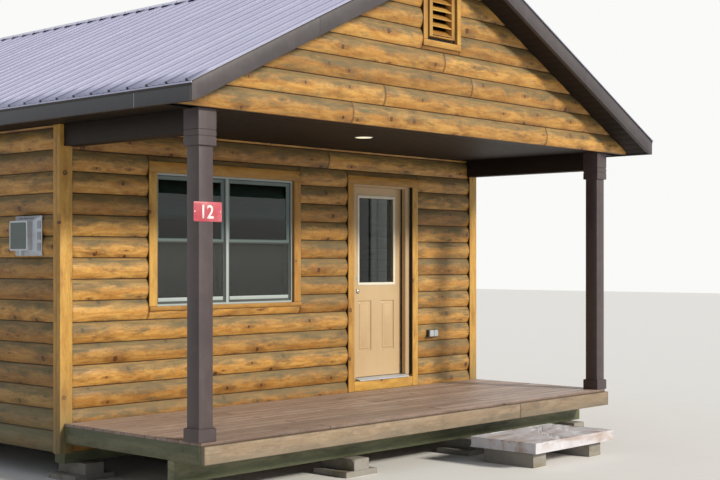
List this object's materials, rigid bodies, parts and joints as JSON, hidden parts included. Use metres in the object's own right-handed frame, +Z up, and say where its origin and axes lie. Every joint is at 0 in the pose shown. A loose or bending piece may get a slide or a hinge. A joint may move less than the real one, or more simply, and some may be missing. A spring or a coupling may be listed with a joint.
{
  "type": "log cabin with a front porch",
  "caption": "Small gable-roofed log-sided cabin with a full-width front porch on two posts, a ribbed metal roof, a double window and a half-glazed front door.",
  "frame": {"origin": "centre of the whole footprint on the ground", "axes": "+X to the right along the front, +Y from the porch into the cabin, +Z up"},
  "size_m": [6.4424, 9.024, 4.7525],
  "materials": {
    "concrete": "rough cast",
    "treated_lumber": "weathered",
    "floor_lumber": "sawn",
    "deck_boards": "weathered",
    "log_siding": "satin stain",
    "trim_boards": "satin stain",
    "brown_wrap": "satin",
    "brown_soffit": "satin",
    "roof_paint": "semi-gloss",
    "roof_lumber": "sawn",
    "window_vinyl": "satin",
    "glazing": "polished",
    "door_paint": "satin",
    "lite_frame": "satin",
    "hardware": "satin",
    "plate_paint": "semi-gloss",
    "vent_metal": "satin",
    "outlet_cover": "satin",
    "lamp_lens": "frosted"
  },
  "bodies": {
    "cabin": {"concrete_piers": "concrete", "ground_beams": "treated_lumber", "joists": "treated_lumber", "rim_boards": "treated_lumber", "house_floor": "floor_lumber", "deck_front_board": "deck_boards", "porch_deck": "deck_boards", "left_wall": "log_siding", "right_wall": "log_siding", "back_wall": "log_siding", "front_wall_left": "log_siding", "front_wall_over_door": "log_siding", "front_wall_right": "log_siding", "front_wall_under_door": "log_siding", "gables": "log_siding", "corner_boards": "trim_boards", "vent_trims": "trim_boards", "vent_louvres": "trim_boards", "window_trim": "trim_boards", "window_frame": "window_vinyl", "window_sashes": "window_vinyl", "window_glass": "glazing", "door_trim": "trim_boards", "door_frame": "door_paint", "door_threshold": "window_vinyl", "frame_hinges": "hardware", "porch_posts": "brown_wrap", "post_trims": "brown_wrap", "side_beams": "brown_soffit", "ceiling": "brown_soffit", "porch_light": "lamp_lens", "soffits": "brown_soffit", "eave_fascias": "brown_wrap", "rake_boards": "brown_wrap", "roof_sheathing": "roof_lumber", "roof_metal": "roof_paint", "ridge_cap": "roof_paint", "number_plate": "plate_paint", "outlet_box": "outlet_cover", "wall_vent": "vent_metal", "front_step": "concrete"},
    "door": {"front_door": "door_paint", "door_lite_frames": "lite_frame", "door_glass": "glazing", "door_hardware": "hardware"}
  },
  "joints": [
    {"name": "door_swing", "type": "hinge", "parent": "cabin", "child": "door", "pos_m": [1.654, -1.7845, 0.634], "axis": [0, 0, -1], "range_deg": [0, 100]}
  ]
}
